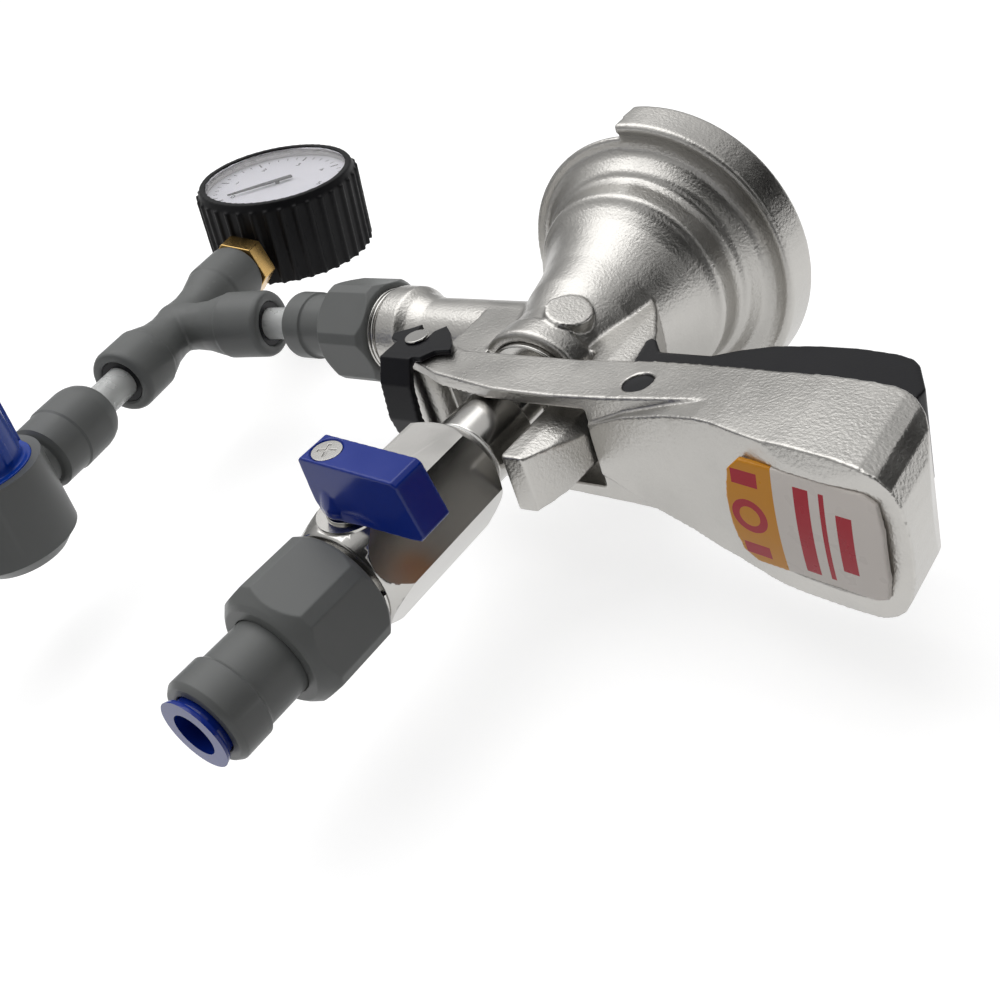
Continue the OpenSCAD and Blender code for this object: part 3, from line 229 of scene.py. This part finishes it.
def finish(name, colour, metal=0.0, rough=0.4, roughSpread=0.08, grain=900.0, bump=0.15, depth=0.0002, mottle=0.08,
           edge=0.0, ior=1.5, transmission=0.0, shine=0.5):
    material = bpy.data.materials.new(name)
    tree = nodeTree(material)
    new, link = tree.nodes.new, tree.links.new
    out = new("ShaderNodeOutputMaterial")
    shader = new("ShaderNodeBsdfPrincipled")
    shader.inputs["Metallic"].default_value = metal
    shader.inputs["IOR"].default_value = ior
    shader.inputs["Specular IOR Level"].default_value = shine
    shader.inputs["Transmission Weight"].default_value = transmission
    link(shader.outputs[0], out.inputs["Surface"])
    coords = new("ShaderNodeTexCoord")
    fine = new("ShaderNodeTexNoise")
    fine.inputs["Scale"].default_value = grain
    fine.inputs["Detail"].default_value = wearValues["fineDetail"]
    link(coords.outputs["Object"], fine.inputs["Vector"])
    wide = new("ShaderNodeTexNoise")
    wide.inputs["Scale"].default_value = wearValues["wideScale"]
    wide.inputs["Detail"].default_value = wearValues["wideDetail"]
    link(coords.outputs["Object"], wide.inputs["Vector"])
    tint = new("ShaderNodeVectorMath")
    tint.operation = "SCALE"
    tint.inputs[0].default_value = colour
    link(driftRange(tree, wide.outputs["Fac"], 1 - mottle, 1 + mottle), tint.inputs["Scale"])
    base = tint.outputs[0]
    if edge:
        geometry = new("ShaderNodeNewGeometry")
        rub = new("ShaderNodeMapRange")
        rub.inputs["From Min"].default_value = wearValues["edgeLow"]
        rub.inputs["From Max"].default_value = wearValues["edgeHigh"]
        rub.inputs["To Max"].default_value = edge
        link(geometry.outputs["Pointiness"], rub.inputs["Value"])
        lighter = new("ShaderNodeMix")
        lighter.data_type = "RGBA"
        rubbed = [min(1.0, part * wearValues["edgeGain"] + wearValues["edgeLift"]) for part in colour]
        lighter.inputs["B"].default_value = (*rubbed, 1)
        link(rub.outputs[0], lighter.inputs["Factor"])
        link(base, lighter.inputs["A"])
        base = lighter.outputs["Result"]
    link(base, shader.inputs["Base Color"])
    least = max(wearValues["leastRough"], rough - roughSpread)
    link(driftRange(tree, wide.outputs["Fac"], least, rough + roughSpread), shader.inputs["Roughness"])
    relief = new("ShaderNodeBump")
    relief.inputs["Strength"].default_value = bump
    relief.inputs["Distance"].default_value = depth
    link(fine.outputs["Fac"], relief.inputs["Height"])
    link(relief.outputs[0], shader.inputs["Normal"])
    return material


castValues = {"colour": (0.5, 0.488, 0.465), "metal": 1.0, "rough": 0.33, "roughSpread": 0.06, "grain": 1500.0,
              "bump": 0.45, "depth": 0.00025, "mottle": 0.07, "edge": 0.7}
looks = {
    "cast_steel": finish("castSteel", **castValues),
    "polished_steel": finish("polishedSteel", (0.5, 0.49, 0.47), metal=1.0, rough=0.2, roughSpread=0.04, grain=500.0,
                             bump=0.04, depth=0.0001, mottle=0.04, edge=0.5),
    "grey_plastic": finish("greyPlastic", (0.142, 0.147, 0.144), rough=0.42, grain=2200.0, bump=0.12, depth=0.0001,
                           mottle=0.06, edge=0.25, shine=0.35),
    "black_plastic": finish("blackPlastic", (0.007, 0.007, 0.009), rough=0.36, grain=2000.0, bump=0.15, depth=0.0001,
                            mottle=0.1, edge=0.15, shine=0.18),
    "black_rubber": finish("blackRubber", (0.007, 0.007, 0.008), rough=0.46, grain=1800.0, bump=0.2, depth=0.0001,
                           mottle=0.12, edge=0.15, shine=0.16),
    "blue_plastic": finish("bluePlastic", (0.006, 0.028, 0.27), rough=0.13, grain=600.0, bump=0.04, depth=0.0001,
                           mottle=0.06, edge=0.15, shine=0.3),
    "knob_blue": finish("knobBlue", (0.004, 0.055, 0.42), rough=0.26, grain=900.0, bump=0.06, depth=0.0001,
                        mottle=0.05, edge=0.25, shine=0.3),
    "clear_tube": finish("clearTube", (0.82, 0.83, 0.82), rough=0.3, grain=300.0, bump=0.05, depth=0.0001,
                         mottle=0.03, transmission=0.45, ior=1.45),
    "white_plastic": finish("whitePlastic", (0.83, 0.83, 0.81), rough=0.4, grain=900.0, bump=0.08, mottle=0.03),
    "brass": finish("brassBar", (0.62, 0.4, 0.14), metal=1.0, rough=0.24, grain=400.0, bump=0.08, depth=0.0001,
                    mottle=0.08, edge=0.5),
    "dial_face": finish("dialPaint", (0.8, 0.79, 0.84), rough=0.45, grain=1500.0, bump=0.04, mottle=0.02),
    "clear_lens": finish("clearLens", (0.97, 0.97, 0.98), rough=0.04, roughSpread=0.02, grain=60.0, bump=0.02,
                         mottle=0.01, transmission=1.0, ior=1.3),
}

# the label's colours, its split, its ring, its bars and its two side marks, in metres along and across the grip
labelValues = {"split": 0.0762, "orange": (0.72, 0.3, 0.02), "cream": (0.83, 0.77, 0.72), "red": (0.48, 0.012, 0.03),
               "shine": 0.3, "ringAt": 0.0703, "ringInner": 0.0022, "ringOuter": 0.0038,
               "bars": ((0.0805, 0.0835, 0.0095), (0.0855, 0.0865, 0.0095), (0.0885, 0.0915, 0.0062)),
               "sideLow": 0.0675, "sideHigh": 0.0731, "sideStarts": (-0.0098, 0.0068), "sideWidth": 0.003,
               "grain": 260.0, "smoothest": 0.22, "roughest": 0.36, "bump": 0.05, "depth": 0.0002}


def addMaths(tree):
    # a short way to add one sum at a time to a node tree
    def maths(operation, *terms):
        step = tree.nodes.new("ShaderNodeMath")
        step.operation = operation
        for place, term in enumerate(terms):
            if isinstance(term, (int, float)):
                step.inputs[place].default_value = term
            else:
                tree.links.new(term, step.inputs[place])
        return step.outputs[0]

    return maths


def labelPaint():
    # a plain two-colour plate with a ring, three bars and two side marks
    material = bpy.data.materials.new("labelPrint")
    tree = nodeTree(material)
    new, link = tree.nodes.new, tree.links.new
    out = new("ShaderNodeOutputMaterial")
    shader = new("ShaderNodeBsdfPrincipled")
    shader.inputs["Specular IOR Level"].default_value = labelValues["shine"]
    link(shader.outputs[0], out.inputs["Surface"])
    coords = new("ShaderNodeTexCoord")
    split = new("ShaderNodeSeparateXYZ")
    link(coords.outputs["Object"], split.inputs[0])
    maths = addMaths(tree)

    def within(value, low, high):
        return maths("COMPARE", value, (low + high) / 2, (high - low) / 2)

    def withMark(marks, alongLow, alongHigh, acrossLow, acrossHigh):
        inside = maths("MULTIPLY", within(x, alongLow, alongHigh), within(z, acrossLow, acrossHigh))
        return maths("MAXIMUM", marks, inside)

    x, z = split.outputs["X"], split.outputs["Z"]
    along = maths("POWER", maths("SUBTRACT", x, labelValues["ringAt"]), 2.0)
    reach = maths("SQRT", maths("ADD", along, maths("POWER", z, 2.0)))
    marks = within(reach, labelValues["ringInner"], labelValues["ringOuter"])
    for low, high, half in labelValues["bars"]:
        marks = withMark(marks, low, high, -half, half)
    for low in labelValues["sideStarts"]:
        marks = withMark(marks, labelValues["sideLow"], labelValues["sideHigh"], low, low + labelValues["sideWidth"])
    ground = new("ShaderNodeMix")
    ground.data_type = "RGBA"
    link(maths("GREATER_THAN", x, labelValues["split"]), ground.inputs["Factor"])
    ground.inputs["A"].default_value = labelValues["orange"] + (1,)
    ground.inputs["B"].default_value = labelValues["cream"] + (1,)
    ink = new("ShaderNodeMix")
    ink.data_type = "RGBA"
    link(marks, ink.inputs["Factor"])
    link(ground.outputs["Result"], ink.inputs["A"])
    ink.inputs["B"].default_value = labelValues["red"] + (1,)
    link(ink.outputs["Result"], shader.inputs["Base Color"])
    noise = new("ShaderNodeTexNoise")
    noise.inputs["Scale"].default_value = labelValues["grain"]
    link(coords.outputs["Object"], noise.inputs["Vector"])
    gloss = new("ShaderNodeMapRange")
    gloss.inputs["To Min"].default_value = labelValues["smoothest"]
    gloss.inputs["To Max"].default_value = labelValues["roughest"]
    link(noise.outputs["Fac"], gloss.inputs["Value"])
    link(gloss.outputs[0], shader.inputs["Roughness"])
    relief = new("ShaderNodeBump")
    relief.inputs["Strength"].default_value = labelValues["bump"]
    relief.inputs["Distance"].default_value = labelValues["depth"]
    link(noise.outputs["Fac"], relief.inputs["Height"])
    link(relief.outputs[0], shader.inputs["Normal"])
    return material


looks["label"] = labelPaint()
inkDark = finish("dialInk", (0.02, 0.02, 0.024), rough=0.5, grain=900.0, bump=0.03, mottle=0.05)

slotOf = {row["node"]: row["material_slot"] for row in record["subparts"]}
bodyOf = {node: body for body, members in record["behaviour"]["bodies"].items() for node in members}
for name, thing in nodes.items():
    thing.data.materials.clear()
    thing.data.materials.append(looks[slotOf[name]])
print("materials assigned")


# frames of the fittings: lengths in millimetres and angles in degrees, as in the CAD source
fit = {"gasFace": 59.5, "gasHeight": 46.2, "fitLength": 39.6, "bendOut": 9.5, "bendLean": -15.0, "bend": 16.5,
       "reach": 38.2, "teeTilt": -1.4, "gaugeAway": 75.0, "gaugeTurn": -4.6, "dialHeight": 18.4, "valveEnd": 137.0,
       "tubeRadius": 4.76}


def turn(degrees, axis):
    return Matrix.Rotation(math.radians(degrees), 4, axis)


def move(x, y, z):
    return Matrix.Translation((x, y, z))


toRow = Matrix.Scale(0.001, 4) @ turn(90, "X")
elbowOut = fit["gasFace"] + fit["fitLength"] + fit["bendOut"]
elbowFrame = toRow @ move(-elbowOut, 0, fit["gasHeight"]) @ turn(fit["bendLean"], "X")
bendFrame = elbowFrame @ turn(fit["bend"], "Y")
teeFrame = bendFrame @ move(-fit["reach"], 0, 0) @ turn(fit["teeTilt"] - fit["bendLean"], "X")
gaugeFrame = teeFrame @ move(0, 0, -fit["gaugeAway"]) @ turn(fit["gaugeTurn"], "Z") @ turn(-90, "X")
valveFrame = toRow @ move(0, 0, fit["valveEnd"])
gasFrame = toRow @ move(-fit["gasFace"], 0, fit["gasHeight"]) @ turn(-90, "Y")


# pieces made from a CAD solid: a cast or moulded one is remeshed and smoothed, a turned one gets small bevels
shapeValues = {"weldDistance": 1e-6, "leastEdge": 1e-7, "smoothShare": 0.5, "mostFaces": 150000, "flatAngle": 0.6,
               "bevelAngle": 30.0, "bevelSteps": 2, "evenWeight": 80}


def mergedMesh(node):
    mesh = nodes[node].data.copy()
    mesh.name = node + "Shape"
    build = bmesh.new()
    build.from_mesh(mesh)
    bmesh.ops.remove_doubles(build, verts=build.verts, dist=shapeValues["weldDistance"])
    bmesh.ops.dissolve_degenerate(build, edges=build.edges, dist=shapeValues["leastEdge"])
    build.to_mesh(mesh)
    build.free()
    return mesh


def settle(thing, material):
    # the evaluated shape becomes a plain mesh before it is declared
    graph = bpy.context.evaluated_depsgraph_get()
    mesh = bpy.data.meshes.new_from_object(thing.evaluated_get(graph))
    thing.modifiers.clear()
    thing.data = mesh
    mesh.materials.clear()
    mesh.materials.append(material)
    return mesh


def declare(thing, node, *others):
    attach(thing, bodyOf[node])
    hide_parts(node, *others)


def softPiece(node, voxel, rounds):
    thing = bpy.data.objects.new(node + "Soft", mergedMesh(node))
    scene.collection.objects.link(thing)
    remesh = thing.modifiers.new("remesh", "REMESH")
    remesh.mode = "VOXEL"
    remesh.voxel_size = voxel
    smooth = thing.modifiers.new("smooth", "SMOOTH")
    smooth.factor = shapeValues["smoothShare"]
    smooth.iterations = rounds
    settle(thing, looks[slotOf[node]])
    faces = sum(len(face.vertices) - 2 for face in thing.data.polygons)
    if faces > shapeValues["mostFaces"]:
        thin = thing.modifiers.new("thin", "DECIMATE")
        thin.ratio = shapeValues["mostFaces"] / faces
        settle(thing, looks[slotOf[node]])
    thing.data.shade_smooth()
    declare(thing, node)
    print("softened", node, faces)


def crispPiece(node, width):
    thing = bpy.data.objects.new(node + "Crisp", mergedMesh(node))
    scene.collection.objects.link(thing)
    build = bmesh.new()
    build.from_mesh(thing.data)
    flat = math.radians(shapeValues["flatAngle"])
    bmesh.ops.dissolve_limit(build, angle_limit=flat, verts=build.verts, edges=build.edges)
    build.to_mesh(thing.data)
    build.free()
    bevel = thing.modifiers.new("bevel", "BEVEL")
    bevel.width = width
    bevel.segments = shapeValues["bevelSteps"]
    bevel.limit_method = "ANGLE"
    bevel.angle_limit = math.radians(shapeValues["bevelAngle"])
    bevel.use_clamp_overlap = True
    even = thing.modifiers.new("even", "WEIGHTED_NORMAL")
    even.weight = shapeValues["evenWeight"]
    even.keep_sharp = True
    thing.data.shade_smooth()
    settle(thing, looks[slotOf[node]])
    declare(thing, node)


# each piece's voxel in metres and its rounds of smoothing
softValues = {
    "handle": (0.00033, 2), "coupler_body": (0.00045, 3), "trigger": (0.0004, 4), "hinge_clip": (0.0003, 3),
    "valve_lever": (0.00025, 3), "tee_body": (0.0004, 4), "relief_knob": (0.0003, 3),
    "handle_label": (0.00025, 2), "liquid_nut": (0.00025, 2), "gas_nut": (0.00025, 2), "gauge_boot": (0.0004, 4),
}
for node, (voxel, rounds) in softValues.items():
    softPiece(node, voxel, rounds)

# each piece's bevel in metres
crispValues = {
    "probe": 0.0003, "valve_body": 0.0003, "liquid_fitting": 0.0002, "gas_fitting": 0.0002, "liquid_collet": 0.0002,
    "gas_collet": 0.0002, "tee_collets": 0.0002, "inlet_collet": 0.0002, "outlet_collet": 0.0002, "gland_nut": 0.0002,
    "lever_screw": 0.0001, "hinge_pin": 0.0003, "trigger_pin": 0.0002, "valve_washer": 0.0001, "gauge_stem": 0.0003,
    "relief_tube": 0.0001, "keg_seal": 0.0002, "probe_seal": 0.0002,
    "gauge_needle": 0.00008, "gauge_case": 0.0002, "relief_body": 0.0002,
}
for node, width in crispValues.items():
    crispPiece(node, width)
print("pieces softened")


# the gas tube follows a smooth elbow between its two sockets, in millimetres
elbow = {"near": 25.4, "far": 19.6, "tangent": 3.6, "bore": 3.14, "sides": 40, "steps": 10}


def bentTube():
    bend = math.radians(fit["bend"])
    radius = elbow["tangent"] / math.tan(bend / 2)
    stations = [(0.0, Vector((elbow["near"], 0, 0)))]
    for step in range(elbow["steps"] + 1):
        part = bend * step / elbow["steps"]
        spot = Vector((elbow["tangent"] - radius * math.sin(part), 0, radius - radius * math.cos(part)))
        stations.append((part, spot))
    stations.append((bend, Vector((-math.cos(bend), 0, math.sin(bend))) * elbow["far"]))
    build = bmesh.new()
    walls = []
    for wall in (fit["tubeRadius"], elbow["bore"]):
        rings = []
        for part, centre in stations:
            normal, level = Vector((math.sin(part), 0, math.cos(part))), Vector((0, 1, 0))
            ring = []
            for side in range(elbow["sides"]):
                angle = math.tau * side / elbow["sides"]
                away = math.cos(angle) * normal + math.sin(angle) * level
                ring.append(build.verts.new(centre + wall * away))
            rings.append(ring)
        walls.append(rings)
    strips = [pair for rings in walls for pair in zip(rings, rings[1:])]
    strips += [(walls[0][0], walls[1][0]), (walls[0][-1], walls[1][-1])]
    for first, second in strips:
        for side in range(elbow["sides"]):
            after = (side + 1) % elbow["sides"]
            build.faces.new((first[side], first[after], second[after], second[side]))
    bmesh.ops.recalc_face_normals(build, faces=build.faces)
    mesh = bpy.data.meshes.new("gasTubeBent")
    build.to_mesh(mesh)
    build.free()
    mesh.transform(elbowFrame)
    mesh.shade_smooth()
    mesh.materials.append(looks["clear_tube"])
    thing = bpy.data.objects.new("gasTubeBent", mesh)
    scene.collection.objects.link(thing)
    declare(thing, "gas_tube")


bentTube()


# threads and dial marks, grown by node trees
def growTree(name, sizes):
    tree = bpy.data.node_groups.new(name, "GeometryNodeTree")
    tree.interface.new_socket(name="Geometry", in_out="OUTPUT", socket_type="NodeSocketGeometry")
    kinds = {int: "NodeSocketInt", float: "NodeSocketFloat"}
    for key, value in sizes.items():
        socket = tree.interface.new_socket(name=key, in_out="INPUT", socket_type=kinds[type(value)])
        socket.default_value = value
    return tree, tree.nodes.new("NodeGroupInput"), tree.nodes.new("NodeGroupOutput")


def grow(name, tree, sizes, frameOf, body, material):
    thing = bpy.data.objects.new(name, bpy.data.meshes.new(name))
    scene.collection.objects.link(thing)
    modifier = thing.modifiers.new("grow", "NODES")
    modifier.node_group = tree
    for item in tree.interface.items_tree:
        if item.item_type == "SOCKET" and item.in_out == "INPUT":
            modifier[item.identifier] = sizes[item.name]
    mesh = settle(thing, material)
    mesh.transform(frameOf)
    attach(thing, body)
    print("grew", name, len(mesh.polygons))


def closeTree(tree, source, groupOut, material):
    real = tree.nodes.new("GeometryNodeRealizeInstances")
    paint = tree.nodes.new("GeometryNodeSetMaterial")
    paint.inputs["Material"].default_value = material
    tree.links.new(source, real.inputs[0])
    tree.links.new(real.outputs[0], paint.inputs["Geometry"])
    tree.links.new(paint.outputs[0], groupOut.inputs[0])


def ringOfBars(name, sizes, frameOf, body, material):
    # bars stand on a circle, between two angles, each turned to the centre
    tree, given, made = growTree(name + "Tree", sizes)
    new, link = tree.nodes.new, tree.links.new
    maths = addMaths(tree)
    line = new("GeometryNodeMeshLine")
    link(given.outputs["count"], line.inputs["Count"])
    index = new("GeometryNodeInputIndex")
    angle = maths("ADD", maths("MULTIPLY", index.outputs[0], given.outputs["step"]), given.outputs["start"])
    spot = new("ShaderNodeCombineXYZ")
    link(maths("MULTIPLY", maths("COSINE", angle), given.outputs["radius"]), spot.inputs["X"])
    link(maths("MULTIPLY", maths("SINE", angle), given.outputs["radius"]), spot.inputs["Y"])
    link(given.outputs["height"], spot.inputs["Z"])
    seat = new("GeometryNodeSetPosition")
    link(line.outputs[0], seat.inputs["Geometry"])
    link(spot.outputs[0], seat.inputs["Position"])
    bar = new("GeometryNodeMeshCube")
    size = new("ShaderNodeCombineXYZ")
    link(given.outputs["deep"], size.inputs["X"])
    link(given.outputs["wide"], size.inputs["Y"])
    link(given.outputs["tall"], size.inputs["Z"])
    link(size.outputs[0], bar.inputs["Size"])
    face = new("ShaderNodeCombineXYZ")
    link(angle, face.inputs["Z"])
    place = new("GeometryNodeInstanceOnPoints")
    link(seat.outputs[0], place.inputs["Points"])
    link(bar.outputs["Mesh"], place.inputs["Instance"])
    link(face.outputs[0], place.inputs["Rotation"])
    closeTree(tree, place.outputs[0], made, material)
    grow(name, tree, sizes, frameOf, body, material)


def threadCoil(name, sizes, frameOf, body, material):
    # a thread is a spiral curve with a small round section
    tree, given, made = growTree(name + "Tree", sizes)
    new, link = tree.nodes.new, tree.links.new
    spiral = new("GeometryNodeCurveSpiral")
    link(given.outputs["steps"], spiral.inputs["Resolution"])
    link(given.outputs["turns"], spiral.inputs["Rotations"])
    link(given.outputs["radius"], spiral.inputs["Start Radius"])
    link(given.outputs["radius"], spiral.inputs["End Radius"])
    link(given.outputs["length"], spiral.inputs["Height"])
    section = new("GeometryNodeCurvePrimitiveCircle")
    section.inputs["Resolution"].default_value = threadValues["sectionSides"]
    link(given.outputs["wire"], section.inputs["Radius"])
    coil = new("GeometryNodeCurveToMesh")
    link(spiral.outputs[0], coil.inputs["Curve"])
    link(section.outputs[0], coil.inputs["Profile Curve"])
    coil.inputs["Fill Caps"].default_value = True
    smooth = new("GeometryNodeSetShadeSmooth")
    link(coil.outputs[0], smooth.inputs[0])
    closeTree(tree, smooth.outputs[0], made, material)
    grow(name, tree, sizes, frameOf, body, material)


# the two threads show beside their nuts, in millimetres
threadValues = {"sectionSides": 10, "valveStart": 0.2, "gasStart": -1.2}
threadSizes = {"steps": 48, "turns": 3.0, "radius": 11.25, "length": 4.2, "wire": 0.55}
threadCoil("valveThread", threadSizes, valveFrame @ move(0, 0, threadValues["valveStart"]), "tap",
           looks["polished_steel"])
threadCoil("gasThread", threadSizes, gasFrame @ move(0, 0, threadValues["gasStart"]), "coupler",
           looks["polished_steel"])

# the dial's marks and numbers, in millimetres and degrees
dialValues = {"majors": 6, "minors": 31, "sweep": 270.0, "start": 225.0, "sunk": 3.6, "proud": 0.03,
              "numberSize": 3.3, "numberRadius": 16.6, "numberThickness": 0.04}
sweep = math.radians(dialValues["sweep"])
dialStart = math.radians(dialValues["start"])
inkHeight = fit["dialHeight"] - dialValues["sunk"] + dialValues["proud"]
majorSizes = {"count": dialValues["majors"] + 1, "step": -sweep / dialValues["majors"], "start": dialStart,
              "radius": 21.6, "height": inkHeight, "deep": 3.0, "wide": 0.55, "tall": 0.08}
minorSizes = {"count": dialValues["minors"], "step": -sweep / (dialValues["minors"] - 1), "start": dialStart,
              "radius": 22.3, "height": inkHeight, "deep": 1.6, "wide": 0.28, "tall": 0.08}
ringOfBars("dialMajors", majorSizes, gaugeFrame, "tee", inkDark)
ringOfBars("dialMinors", minorSizes, gaugeFrame, "tee", inkDark)


def dialNumbers():
    build = bmesh.new()
    for place in range(dialValues["majors"] + 1):
        curve = bpy.data.curves.new("number", "FONT")
        curve.body = str(place)
        curve.size = dialValues["numberSize"]
        curve.align_x = "CENTER"
        curve.align_y = "CENTER"
        curve.extrude = dialValues["numberThickness"]
        word = bpy.data.objects.new("number", curve)
        scene.collection.objects.link(word)
        bpy.context.view_layer.update()
        mesh = bpy.data.meshes.new_from_object(word.evaluated_get(bpy.context.evaluated_depsgraph_get()))
        bpy.data.objects.remove(word)
        angle = dialStart - sweep * place / dialValues["majors"]
        reach = dialValues["numberRadius"]
        mesh.transform(gaugeFrame @ move(reach * math.cos(angle), reach * math.sin(angle), inkHeight))
        build.from_mesh(mesh)
    bmesh.ops.recalc_face_normals(build, faces=build.faces)
    mesh = bpy.data.meshes.new("dialNumbers")
    build.to_mesh(mesh)
    build.free()
    mesh.materials.append(inkDark)
    thing = bpy.data.objects.new("dialNumbers", mesh)
    scene.collection.objects.link(thing)
    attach(thing, "tee")


dialNumbers()
print("dial and threads made")
